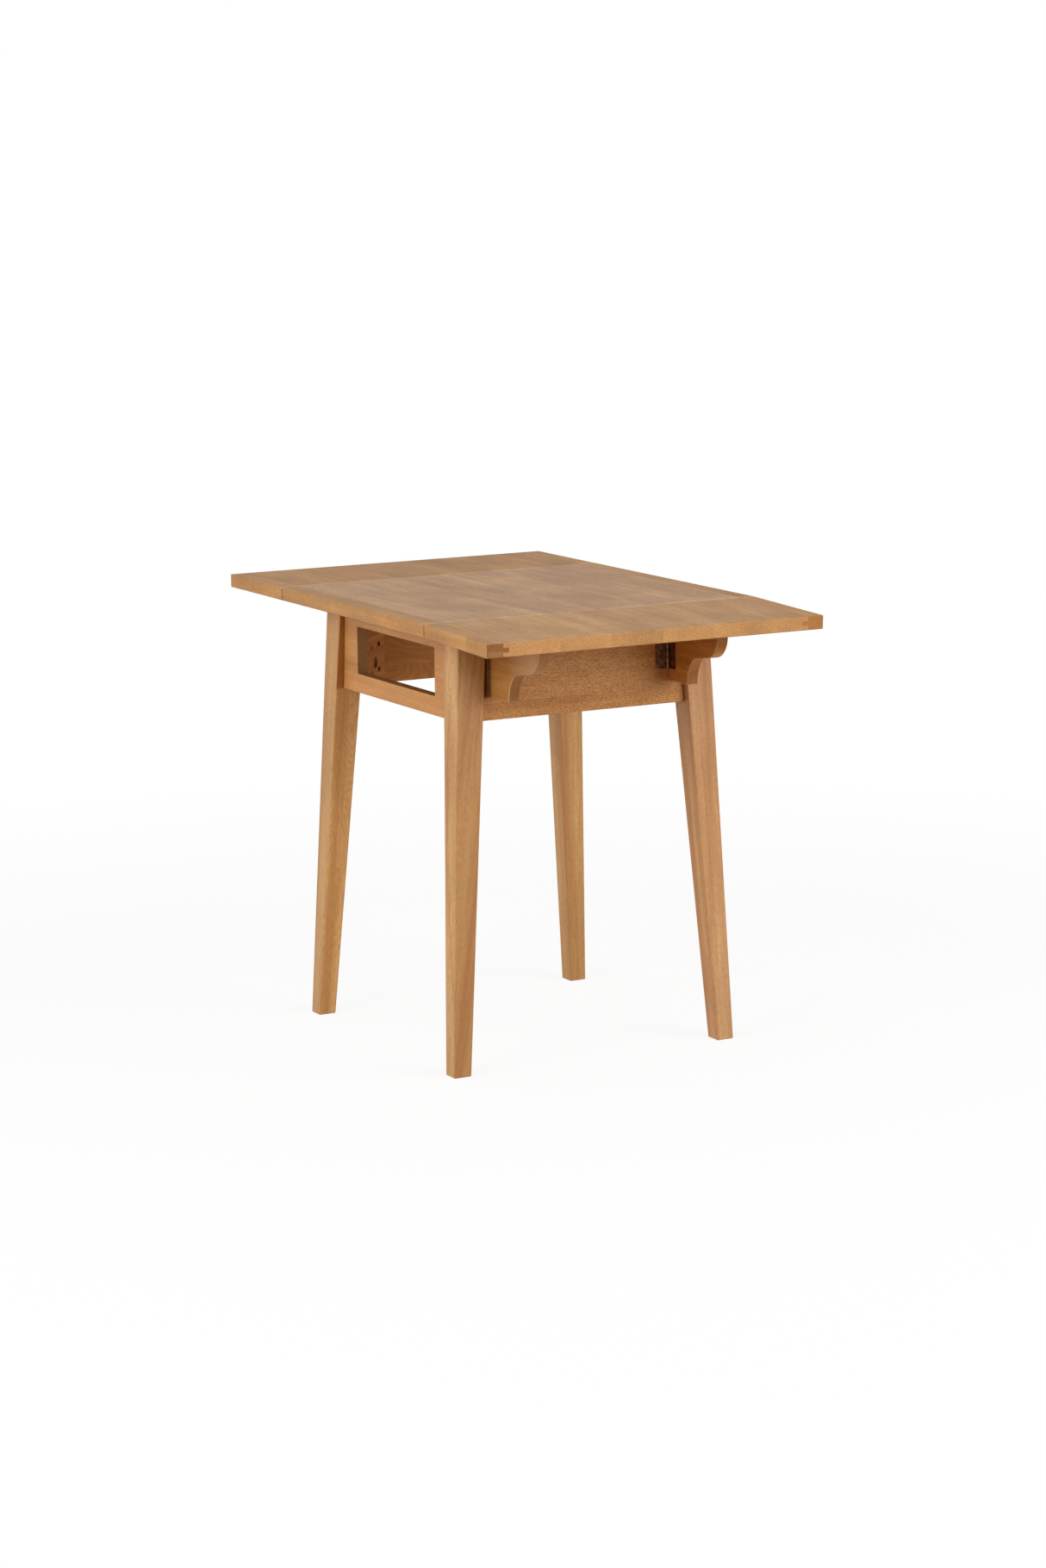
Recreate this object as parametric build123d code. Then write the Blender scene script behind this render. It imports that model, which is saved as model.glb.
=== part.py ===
from build123d import *
from math import atan2, degrees, sqrt
import os

# A drop leaf table on splayed, tapered legs. The floor is Z = 0, the leaf seams run along X,
# the front leaf is on the -Y side and the right end is on the +X side. Millimetres.
# Corner pieces are drawn once, for the front right corner, and mirrored to the other three.

# Top
table_height = 742.0
top_length = 610.0
top_thickness = 22.5
centre_width = 526.0
leaf_width = 209.0
seam_gap = 0.6
batten_width = 29.0
tongue_length = 10.0
tongue_thickness = 7.5
top_edge_radius = 1.6

# Legs: a square section that tapers to the foot while both outer faces lean outwards
leg_top = 51.0
leg_foot = 31.0
leg_end_inset = 73.0
leg_side_inset = 24.0
leg_splay_x = 31.0
leg_splay_y = 28.0
leg_edge_radius = 2.0
foot_chamfer = 1.0

# Aprons along the sides, open frames across the ends
rail_height = 147.5
rail_thickness = 18.0
rail_setback = 7.5
rail_leg_gap = 2.5
rail_edge_radius = 1.2
end_top_rail = 36.0
end_bottom_rail = 31.5
end_cheek = 47.0

# Corner blocks, each drawn to its leg by a hanger bolt and to the rails by four screws
block_setback = 20.0
block_thickness = 28.5
block_height = 90.0
block_lift = 16.0
bolt_lift = 25.5
bolt_radius = 4.0
bolt_in_leg = 40.0
bolt_bore_radius = 10.0
bolt_bore_depth = 13.0
washer_radius = 8.5
washer_thickness = 1.6
nut_width = 13.0
nut_height = 6.5
bolt_past_nut = 2.0
block_screw_offset = 18.5
block_screw_low = 12.0
block_screw_high = 55.0
block_screw_seat = 11.0
block_screw_length = 22.0

# Pan head screws, in the blocks and up through the end rails into the top
pan_head_radius = 4.0
pan_head_height = 2.6
pan_head_chamfer = 1.2
pan_shank_radius = 2.0
top_screw_spacing = 160.0
top_screw_seat = 14.0
top_screw_length = 33.0

# Swing brackets with an ogee profile: flat nose, quarter round, sloping underside, hollow and rounded toe.
# The left pair sits a little further from its legs, and its front one stands a little short of square.
bracket_thickness = 20.0
bracket_nose_flat = 16.0
bracket_nose_radius = 38.0
bracket_slope_run = 36.0
bracket_slope_fall = 6.0
bracket_hollow_run = 20.0
bracket_hollow_height = 42.0
bracket_toe_radius = 3.0
bracket_drop = 4.4
bracket_leg_gap = 1.6
bracket_left_shift = 5.5
bracket_left_swing = 2.5
bracket_meeting_gap = 2.5
bracket_back_gap = 0.4
bracket_rest_gap = 0.3
bracket_edge_chamfer = 0.8

# Butt hinges, the same pattern in two sizes
hinge_thickness = 1.6
knuckle_radius = 2.5
knuckle_count = 5
knuckle_gap = 0.4
pin_radius = 1.25
pin_clearance = 0.05
pin_head_radius = 2.0
pin_head_height = 1.0
pin_offset = 2.6
bracket_hinge_length = 44.0
bracket_hinge_reach = 21.5
bracket_hinge_below_top = 62.5
bracket_screw_offset = 11.0
bracket_screw_spacing = 24.5
leaf_hinge_length = 40.0
leaf_hinge_reach = 22.0
leaf_hinge_end_inset = 52.5
leaf_screw_offset = 12.5
leaf_screw_spacing = 22.0

# Countersunk hinge screws with a cross recess
screw_head_radius = 3.0
screw_head_depth = 1.4
screw_shank_radius = 1.5
screw_length = 12.0
recess_length = 3.2
recess_width = 0.7
recess_depth = 0.8
hole_clearance = 0.05

# Places worked out from the sizes above
underside = table_height - top_thickness
half_length = top_length / 2
half_centre = centre_width / 2
panel_length = top_length - 2 * batten_width
leg_top_x = half_length - leg_end_inset
leg_top_y = half_centre - leg_side_inset
rail_bottom = underside - rail_height
end_face = leg_top_x - rail_setback
end_back = end_face - rail_thickness
apron_face = leg_top_y - rail_setback
apron_back = apron_face - rail_thickness
opening_half = leg_top_y - leg_top - end_cheek
opening_bottom = rail_bottom + end_bottom_rail
opening_top = underside - end_top_rail

block_bottom = rail_bottom + block_lift
block_inner = block_setback + block_thickness
bolt_height = block_bottom + bolt_lift

bracket_inner_x = leg_top_x - leg_top - bracket_leg_gap - bracket_thickness
bracket_pin_x = bracket_inner_x - pin_offset
bracket_pin_y = apron_face + pin_offset
bracket_length = bracket_inner_x - bracket_back_gap - (bracket_left_shift + bracket_meeting_gap) / 2
bracket_back = apron_face + bracket_back_gap
bracket_nose = bracket_nose_flat + bracket_nose_radius
bracket_height = bracket_nose + bracket_slope_fall + bracket_hollow_height + bracket_toe_radius
bracket_top = underside - bracket_drop
bracket_hinge_z = bracket_top - bracket_hinge_below_top

leaf_pin_y = half_centre + seam_gap / 2
leaf_pin_z = underside - pin_offset
leaf_inner = half_centre + seam_gap
leaf_outer = leaf_inner + leaf_width
nose_reach = bracket_back + bracket_length - leaf_pin_y
leaf_droop = degrees(atan2(bracket_drop - bracket_rest_gap, nose_reach))

front_leaf_axis = Axis((0, -leaf_pin_y, leaf_pin_z), (1, 0, 0))
corners = {"front_left": (-1, -1), "front_right": (1, -1), "back_left": (-1, 1), "back_right": (1, 1)}


# Shared helpers

def to_corner(shape, sign_x, sign_y):
    """Mirrors a piece of the front right corner to the corner with these signs."""
    if sign_x < 0:
        shape = mirror(shape, about=Plane.YZ)
    if sign_y > 0:
        shape = mirror(shape, about=Plane.XZ)
    return shape


def bracket_shift(sign_x):
    return bracket_left_shift if sign_x < 0 else 0.0


def to_bracket(shape, sign_x, sign_y):
    """Mirrors a piece of the front right bracket or its hinge to another bracket."""
    return Pos(bracket_shift(sign_x), 0, 0) * to_corner(shape, sign_x, sign_y)


def slab(points, plane, thickness, start=0.0):
    """A polygon on a plane, thickened along the plane's normal from a start distance."""
    outline = make_face(Polyline(*points, close=True))
    return plane.offset(start) * extrude(outline, thickness)


def block(x, y, z):
    """A box between two values on each axis."""
    size = Box(x[1] - x[0], y[1] - y[0], z[1] - z[0], align=(Align.MIN, Align.MIN, Align.MIN))
    return Pos(x[0], y[0], z[0]) * size


def rod(radius, start, end):
    """A cylinder along Z between two heights."""
    return Pos(0, 0, start) * Cylinder(radius, end - start, align=(Align.CENTER, Align.CENTER, Align.MIN))


def cut_all(shape, cutters):
    """Takes every cutter out of a piece."""
    for cutter in cutters:
        shape = shape - cutter
    return shape


def cross_recess(height):
    """The driver recess of a screw whose head is level with this height and faces -Z."""
    bar = Box(recess_length, recess_width, 2 * recess_depth)
    return Pos(0, 0, height) * (bar + Rot(0, 0, 90) * bar)


# Screws are drawn driven along +Z, with Z = 0 at the seat of the head

def pan_screw(length):
    head = rod(pan_head_radius, -pan_head_height, 0)
    head = chamfer(head.edges().sort_by(Axis.Z)[0], pan_head_chamfer)
    return head + rod(pan_shank_radius, 0, length) - cross_recess(-pan_head_height)


def pan_hole(length, way_in):
    bore = rod(pan_head_radius + 10 * hole_clearance, -way_in, 0)
    return bore + rod(pan_shank_radius + hole_clearance, 0, length + hole_clearance)


def hinge_screw():
    head = Cone(screw_head_radius, screw_shank_radius, screw_head_depth,
                align=(Align.CENTER, Align.CENTER, Align.MIN))
    return head + rod(screw_shank_radius, screw_head_depth, screw_length) - cross_recess(0)


def hinge_screw_hole():
    head = Cone(screw_head_radius, screw_shank_radius, screw_head_depth,
                align=(Align.CENTER, Align.CENTER, Align.MIN))
    return head + rod(screw_shank_radius + hole_clearance, 0, screw_length + hole_clearance)


# Hinges are drawn with the pin along Z, the flap towards +X and its mounting face at Y = pin_offset

def hinge_flap(length, reach, first_knuckle):
    """A flap that carries every second knuckle, starting at the numbered one."""
    plate = (pin_offset - hinge_thickness, pin_offset)
    clear = knuckle_radius + knuckle_gap
    pitch = length / knuckle_count
    flap = block((clear, reach), plate, (-length / 2, length / 2))
    for index in range(first_knuckle, knuckle_count, 2):
        low = index * pitch - length / 2 + knuckle_gap / 2
        high = low + pitch - knuckle_gap
        flap += block((0, clear), plate, (low, high))
        flap += rod(knuckle_radius, low, high)
    return flap - rod(pin_radius + pin_clearance, -length, length)


def hinge_pin(length):
    seat = length / 2 - knuckle_gap / 2
    pin = rod(pin_radius, -seat, seat)
    pin += rod(pin_head_radius, seat, seat + pin_head_height)
    pin += rod(pin_head_radius, -seat - pin_head_height, -seat)
    return pin


def hinge_side(plane, length, reach, first_knuckle, screw_offset, screw_spacing):
    """One side of a hinge on its plane: the flap, its screws and the holes for them."""
    flap = plane.location * hinge_flap(length, reach, first_knuckle)
    screws = []
    holes = []
    for along in (-screw_spacing / 2, screw_spacing / 2):
        seat = Plane(origin=(screw_offset, pin_offset - hinge_thickness, along), z_dir=(0, 1, 0))
        place = plane.location * seat.location
        screws.append(place * hinge_screw())
        holes.append(place * hinge_screw_hole())
    return cut_all(flap, holes), screws, holes


# Legs

def leg_at(height, at_foot, at_top):
    return at_foot + (at_top - at_foot) * height / underside


def leg_inner_x(height):
    return leg_at(height, leg_top_x + leg_splay_x - leg_foot, leg_top_x - leg_top)


def leg_inner_y(height):
    return leg_at(height, leg_top_y + leg_splay_y - leg_foot, leg_top_y - leg_top)


def make_leg(bolt_hole):
    foot_x = leg_top_x + leg_splay_x
    foot_y = leg_top_y + leg_splay_y
    end_view = [(-leg_inner_y(0), 0), (-foot_y, 0)]
    end_view += [(-leg_top_y, underside), (-leg_inner_y(underside), underside)]
    side_view = [(leg_inner_x(0), 0), (foot_x, 0)]
    side_view += [(leg_top_x, underside), (leg_inner_x(underside), underside)]
    leg = slab(end_view, Plane.YZ, half_length) & slab(side_view, Plane.XZ, leaf_outer)
    long_edges = leg.edges().filter_by(lambda edge: edge.length > underside / 2)
    leg = fillet(long_edges, leg_edge_radius)
    leg = chamfer(leg.faces().sort_by(Axis.Z)[0].edges(), foot_chamfer)
    seat = block((-leg_top, leg_top), (rail_bottom, underside), (block_setback, block_setback + leg_top))
    return leg - corner_plane.location * seat - bolt_hole


# Corner blocks: local Z of the corner plane points from the rails' inner corner to the table's middle

corner_plane = Plane(origin=(end_back, -apron_back, 0), x_dir=(-1, -1, 0), z_dir=(-1, 1, 0))


def block_screw_places():
    """Places of the four screws of the front right block, two into the end frame, two into the apron."""
    places = []
    for height in (block_screw_low, block_screw_high):
        for offset, drive in ((-block_screw_offset, (1, 0, 0)), (block_screw_offset, (0, -1, 0))):
            face = corner_plane.from_local_coords((offset, block_bottom + height, block_inner))
            head = Vector(face) + Vector(drive) * block_screw_seat
            places.append(Plane(origin=head, z_dir=drive).location)
    return places


def make_corner_block(screw_holes):
    near = block_setback * sqrt(2)
    far = block_inner * sqrt(2)
    plan = [(end_back, near - apron_back), (end_back, far - apron_back)]
    plan += [(end_back - far, -apron_back), (end_back - near, -apron_back)]
    body = slab(plan, Plane.XY, block_height, block_bottom)
    axis = corner_plane.location * Pos(0, bolt_height, 0)
    bore = axis * rod(bolt_bore_radius, block_inner - bolt_bore_depth, block_inner + bolt_bore_depth)
    shank = axis * rod(bolt_radius + hole_clearance, 0, block_inner)
    return cut_all(body - bore - shank, screw_holes)


def make_hanger_bolt():
    """The bolt, its washer and its nut, and the hole that the bolt makes in the leg."""
    axis = corner_plane.location * Pos(0, bolt_height, 0)
    seat = block_inner - bolt_bore_depth
    nut_seat = seat + washer_thickness
    leg_end = block_setback - bolt_in_leg
    bolt = rod(bolt_radius, leg_end, nut_seat + nut_height + bolt_past_nut)
    hole = rod(bolt_radius + hole_clearance, leg_end - hole_clearance, block_setback + hole_clearance)
    through = rod(bolt_radius + hole_clearance, 0, block_inner)
    washer = rod(washer_radius, seat, nut_seat) - through
    hexagon = RegularPolygon(nut_width / 2, 6, major_radius=False)
    nut = Pos(0, 0, nut_seat) * extrude(hexagon, nut_height) - through
    return axis * bolt, axis * washer, axis * nut, axis * hole


# Aprons and end frames

def make_apron(holes):
    outline = []
    for sign, height in ((-1, rail_bottom), (1, rail_bottom), (1, underside), (-1, underside)):
        outline.append((sign * (leg_inner_x(height) - rail_leg_gap), height))
    apron = slab(outline, Plane.XZ, rail_thickness, apron_back)
    lower = apron.edges().filter_by(Axis.X).sort_by(Axis.Z)[:2]
    return cut_all(fillet(lower, rail_edge_radius), holes)


def make_end_rail(low, high, holes):
    outline = []
    for sign, height in ((-1, low), (1, low), (1, high), (-1, high)):
        outline.append((sign * (leg_inner_y(height) - rail_leg_gap), height))
    return cut_all(slab(outline, Plane.YZ, rail_thickness, end_back), holes)


def make_end_cheek(holes):
    outline = [(-opening_half, opening_bottom), (-opening_half, opening_top)]
    for height in (opening_top, opening_bottom):
        outline.append((rail_leg_gap - leg_inner_y(height), height))
    return cut_all(slab(outline, Plane.YZ, rail_thickness, end_back), holes)


# The three panels of the top, each with a tongued batten across both ends

def edges_at(piece, axis, **places):
    """Edges along an axis whose middles lie at the given X, Y or Z."""
    found = piece.edges().filter_by(axis)
    for name, value in places.items():
        found = found.filter_by(lambda edge: abs(getattr(edge.center(), name) - value) < top_edge_radius / 10)
    return found


def tongue_range():
    middle = underside + top_thickness / 2
    return (middle - tongue_thickness / 2, middle + tongue_thickness / 2)


def make_panel(start, end, soft_bottom):
    """A panel from one Y to another; soft_bottom says which sides have an eased lower edge too."""
    half = panel_length / 2
    panel = block((-half, half), (start, end), (underside, table_height))
    for sign in (-1, 1):
        low, high = sorted((sign * half, sign * (half - tongue_length)))
        panel -= block((low, high), (start, end), tongue_range())
    edges = edges_at(panel, Axis.X, Y=start, Z=table_height) + edges_at(panel, Axis.X, Y=end, Z=table_height)
    for side in soft_bottom:
        edges += edges_at(panel, Axis.X, Y=side, Z=underside)
    return fillet(edges, top_edge_radius)


def make_batten(start, end, soft_bottom):
    """The right hand batten of a panel."""
    inner = panel_length / 2
    batten = block((inner, half_length), (start, end), (underside, table_height))
    batten += block((inner - tongue_length, inner), (start, end), tongue_range())
    edges = edges_at(batten, Axis.Y, X=half_length)
    for side in (start, end):
        top_edge = edges_at(batten, Axis.X, Y=side, Z=table_height)
        edges += top_edge
    for side in soft_bottom:
        edges += edges_at(batten, Axis.X, Y=side, Z=underside)
        edges += edges_at(batten, Axis.Z, X=half_length, Y=side)
    return fillet(edges, top_edge_radius)


# Swing brackets, drawn swung out at right angles to the apron

def bracket_profile():
    """The side view: X runs from the apron to the nose, Y is 0 along the bracket's top edge."""
    round_x = bracket_length - bracket_nose_radius
    hollow_x = round_x - bracket_slope_run
    hollow_top = -bracket_nose - bracket_slope_fall
    hollow_low = hollow_top - bracket_hollow_height
    toe_x = hollow_x - bracket_hollow_run
    toe_middle = toe_x - bracket_toe_radius
    edges = Polyline((toe_middle, -bracket_height), (0, -bracket_height), (0, 0), (bracket_length, 0),
                     (bracket_length, -bracket_nose_flat)).edges()
    edges += [CenterArc((round_x, -bracket_nose_flat), bracket_nose_radius, 0, -90)]
    edges += [Line((round_x, -bracket_nose), (hollow_x, hollow_top))]
    edges += [TangentArc((toe_x, hollow_low), (hollow_x, hollow_top), tangent=(0, 1))]
    edges += [CenterArc((toe_middle, hollow_low), bracket_toe_radius, 0, -90)]
    return make_face(edges)


def make_bracket(holes):
    body = extrude(bracket_profile(), bracket_thickness)
    sides = body.faces().filter_by(Axis.Z)
    body = chamfer(sides[0].edges() + sides[-1].edges(), bracket_edge_chamfer)
    outer_x = bracket_inner_x + bracket_thickness
    outward = Plane(origin=(outer_x, -bracket_back, bracket_top), x_dir=(0, -1, 0), z_dir=(-1, 0, 0))
    return cut_all(outward.location * body, holes)


# Assembly

nodes = {}


def add(name, *solids):
    nodes.setdefault(name, []).extend(solids)


bracket_pin = (bracket_pin_x, -bracket_pin_y, bracket_hinge_z)
apron_side = Plane(origin=bracket_pin, x_dir=(-1, 0, 0), z_dir=(0, 0, -1))
bracket_side = Plane(origin=bracket_pin, x_dir=(0, -1, 0), z_dir=(0, 0, 1))
bracket_sizes = (bracket_screw_offset, bracket_screw_spacing)
apron_flap, apron_screws, apron_holes = hinge_side(
    apron_side, bracket_hinge_length, bracket_hinge_reach, 0, *bracket_sizes)
bracket_flap, bracket_screws, bracket_holes = hinge_side(
    bracket_side, bracket_hinge_length, bracket_hinge_reach, 1, *bracket_sizes)
bracket_hinge_pin = apron_side.location * hinge_pin(bracket_hinge_length)
bracket = make_bracket(bracket_holes)

leaf_pin = (half_length - leaf_hinge_end_inset, -leaf_pin_y, leaf_pin_z)
panel_side = Plane(origin=leaf_pin, x_dir=(0, 1, 0), z_dir=(1, 0, 0))
leaf_side = Plane(origin=leaf_pin, x_dir=(0, -1, 0), z_dir=(-1, 0, 0))
leaf_sizes = (leaf_screw_offset, leaf_screw_spacing)
panel_flap, panel_screws, panel_holes = hinge_side(
    panel_side, leaf_hinge_length, leaf_hinge_reach, 0, *leaf_sizes)
leaf_flap, leaf_screws, leaf_holes = hinge_side(
    leaf_side, leaf_hinge_length, leaf_hinge_reach, 1, *leaf_sizes)
leaf_hinge_pin = panel_side.location * hinge_pin(leaf_hinge_length)

screw_places = block_screw_places()
block_screws = [place * pan_screw(block_screw_length) for place in screw_places]
block_holes = [place * pan_hole(block_screw_length, block_inner) for place in screw_places]
hanger_bolt, hanger_washer, hanger_nut, bolt_hole = make_hanger_bolt()
leg = make_leg(bolt_hole)
corner_block = make_corner_block(block_holes)

top_screws = []
top_holes = []
for across in (-top_screw_spacing / 2, top_screw_spacing / 2):
    place = Pos((end_face + end_back) / 2, across, opening_top + top_screw_seat)
    top_screws.append(place * pan_screw(top_screw_length))
    top_holes.append(place * pan_hole(top_screw_length, 2 * top_screw_seat))

apron_cutters = []
for sign_x in (-1, 1):
    apron_cutters += [to_bracket(hole, sign_x, -1) for hole in apron_holes]
    apron_cutters += [to_corner(hole, sign_x, -1) for hole in block_holes]
apron = make_apron(apron_cutters)
add("apron_front", apron)
add("apron_back", mirror(apron, about=Plane.XZ))

end_cutters = block_holes + [to_corner(hole, 1, 1) for hole in block_holes]
end_top = make_end_rail(opening_top, underside, top_holes)
end_bottom = make_end_rail(rail_bottom, opening_bottom, end_cutters)
cheek = make_end_cheek(block_holes)
for end, sign_x in (("left", -1), ("right", 1)):
    add(f"end_rail_top_{end}", to_corner(end_top, sign_x, -1))
    add(f"end_rail_bottom_{end}", to_corner(end_bottom, sign_x, -1))
    for side, sign_y in (("front", -1), ("back", 1)):
        add(f"end_cheek_{side}_{end}", to_corner(cheek, sign_x, sign_y))
    add("top_fixing_screws", *[to_corner(screw, sign_x, -1) for screw in top_screws])

for corner, signs in corners.items():
    add(f"leg_{corner}", to_corner(leg, *signs))
    add(f"corner_block_{corner}", to_corner(corner_block, *signs))
    add("hanger_bolts", to_corner(hanger_bolt, *signs))
    add("hanger_bolt_washers", to_corner(hanger_washer, *signs))
    add("hanger_bolt_nuts", to_corner(hanger_nut, *signs))
    add("corner_block_screws", *[to_corner(screw, *signs) for screw in block_screws])
    add("bracket_hinge_apron_flaps", to_bracket(apron_flap, *signs))
    add("bracket_hinge_pins", to_bracket(bracket_hinge_pin, *signs))
    add("bracket_hinge_apron_screws", *[to_bracket(screw, *signs) for screw in apron_screws])
    add("leaf_hinge_panel_flaps", to_corner(panel_flap, *signs))
    add("leaf_hinge_pins", to_corner(leaf_hinge_pin, *signs))
    add("leaf_hinge_panel_screws", *[to_corner(screw, *signs) for screw in panel_screws])

centre_panel = make_panel(-half_centre, half_centre, ())
centre_cutters = [to_corner(hole, *signs) for signs in corners.values() for hole in panel_holes]
centre_cutters += [to_corner(hole, sign_x, -1) for sign_x in (-1, 1) for hole in top_holes]
add("centre_panel", cut_all(centre_panel, centre_cutters))
centre_batten = cut_all(make_batten(-half_centre, half_centre, ()), centre_cutters)
add("centre_batten_right", centre_batten)
add("centre_batten_left", mirror(centre_batten, about=Plane.YZ))

# Each leaf is drawn level. The front one rests on its brackets, a little below level.
leaf_panel = make_panel(-leaf_outer, -leaf_inner, (-leaf_outer,))
leaf_cutters = [to_corner(hole, sign_x, -1) for sign_x in (-1, 1) for hole in leaf_holes]
leaf_panel = cut_all(leaf_panel, leaf_cutters)
leaf_batten = cut_all(make_batten(-leaf_outer, -leaf_inner, (-leaf_outer,)), leaf_holes)
for side, sign_y, droop in (("front", -1, leaf_droop), ("back", 1, 0)):
    pieces = {f"leaf_{side}_panel": [to_corner(leaf_panel, 1, sign_y)]}
    for end, sign_x in (("left", -1), ("right", 1)):
        pieces[f"leaf_{side}_batten_{end}"] = [to_corner(leaf_batten, sign_x, sign_y)]
        flaps = pieces.setdefault(f"leaf_{side}_hinge_flaps", [])
        flaps.append(to_corner(leaf_flap, sign_x, sign_y))
        screws = pieces.setdefault(f"leaf_{side}_hinge_screws", [])
        screws += [to_corner(screw, sign_x, sign_y) for screw in leaf_screws]
    for name, solids in pieces.items():
        add(name, *[solid.rotate(front_leaf_axis, droop) for solid in solids])

# The front brackets stand out under their leaf, the back pair is folded flat against its apron.
bracket_turns = {"front_left": bracket_left_swing, "front_right": 0, "back_left": -90, "back_right": 90}
for corner, (sign_x, sign_y) in corners.items():
    pin_x = sign_x * bracket_pin_x + bracket_shift(sign_x)
    pin_axis = Axis((pin_x, sign_y * bracket_pin_y, 0), (0, 0, 1))
    turn = bracket_turns[corner]
    add(f"bracket_{corner}", to_bracket(bracket, sign_x, sign_y).rotate(pin_axis, turn))
    add(f"bracket_{corner}_hinge_flap", to_bracket(bracket_flap, sign_x, sign_y).rotate(pin_axis, turn))
    screws = [to_bracket(screw, sign_x, sign_y).rotate(pin_axis, turn) for screw in bracket_screws]
    add(f"bracket_{corner}_hinge_screws", *screws)

os.makedirs("parts", exist_ok=True)
for name, solids in nodes.items():
    shape = solids[0] if len(solids) == 1 else Compound(children=solids)
    shape.label = name
    export_step(shape, f"parts/{name}.step")
print("leaf droop in degrees", round(leaf_droop, 3))
print("bracket length", round(bracket_length, 2), "height", round(bracket_height, 2))
print("bracket pins", [round(value, 3) for value in bracket_pin])
print("leaf pins", [round(value, 3) for value in leaf_pin])
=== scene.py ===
from math import cos, radians, sin
import bmesh
import bpy
from mathutils import Matrix, Vector


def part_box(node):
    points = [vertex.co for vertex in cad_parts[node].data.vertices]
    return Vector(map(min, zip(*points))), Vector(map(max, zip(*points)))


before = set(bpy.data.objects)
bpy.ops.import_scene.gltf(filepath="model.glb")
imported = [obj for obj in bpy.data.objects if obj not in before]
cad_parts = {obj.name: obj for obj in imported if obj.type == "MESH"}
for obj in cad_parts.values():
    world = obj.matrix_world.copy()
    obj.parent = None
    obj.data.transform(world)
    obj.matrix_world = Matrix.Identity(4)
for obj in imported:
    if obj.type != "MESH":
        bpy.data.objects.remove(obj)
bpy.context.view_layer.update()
print("frame loaded:", len(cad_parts), "nodes")

mm = 0.001
alongSeams = (1, 0, 0)
acrossSeams = (0, 1, 0)
upright = (0, 0, 1)


# small helpers

def srgb(hexCode):  # '#rrggbb' to the linear colour that shader sockets take
    linear = []
    for start in (1, 3, 5):
        value = int(hexCode[start:start + 2], 16) / 255
        linear.append(value / 12.92 if value <= 0.04045 else ((value + 0.055) / 1.055) ** 2.4)
    return (*linear, 1.0)


def addNode(tree, kind, inputs=None, **settings):  # inputs: socket name or number to a value or a socket
    node = tree.nodes.new(kind)
    for name, value in settings.items():
        setattr(node, name, value)
    for socket, value in (inputs or {}).items():
        if isinstance(value, bpy.types.NodeSocket):
            tree.links.new(value, node.inputs[socket])
        else:
            node.inputs[socket].default_value = value
    return node


def newMaterial(name):
    material = bpy.data.materials.new(name)
    material.use_nodes = True
    material.node_tree.nodes.clear()
    return material, material.node_tree


def setMaterial(nodeName, material):
    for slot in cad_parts[nodeName].material_slots:
        slot.material = material


# rubberwood: pale honey hardwood, sanded and sprayed with satin lacquer
# the eye gets broad soft bands, a few redder streaks and short dark pore dashes,
# which turn to specks on end grain

seedStep = 7.31  # keeps the boards of two pieces from drawing the same chance
endFrom, endFull = 0.6, 0.95  # how squarely a face looks along the grain where end grain starts to show
sideFrom, sideFull = 0.6, 0.9  # the same for a face that looks to one side


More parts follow.
